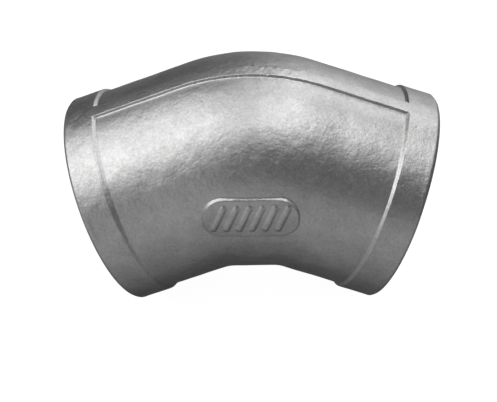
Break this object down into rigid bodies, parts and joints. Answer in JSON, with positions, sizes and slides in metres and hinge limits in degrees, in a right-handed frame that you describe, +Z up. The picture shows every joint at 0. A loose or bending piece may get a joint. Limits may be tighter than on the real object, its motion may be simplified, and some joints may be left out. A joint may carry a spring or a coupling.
{
  "type": "pipe elbow",
  "caption": "45 degree pipe elbow, one inch nominal, cast stainless, with banded female-threaded ports, a rib along the outside of the bend and a raised marking pad.",
  "frame": {"origin": "centre of the bounding box's bottom face, under the crossing of the two port axes, which is 29.38 mm up the Z axis", "axes": "+X towards the right-hand port across the bend, +Y away from the face with the marking pad, +Z up towards the outside of the bend; the port axes point 22.5 degrees below +X and -X"},
  "size_m": [0.0694, 0.0394, 0.0478],
  "materials": {
    "cast_stainless": "satin, bead-blasted investment casting with machined threads and end faces"
  },
  "bodies": {
    "root": {"elbow_body": "cast_stainless"}
  },
  "joints": []
}
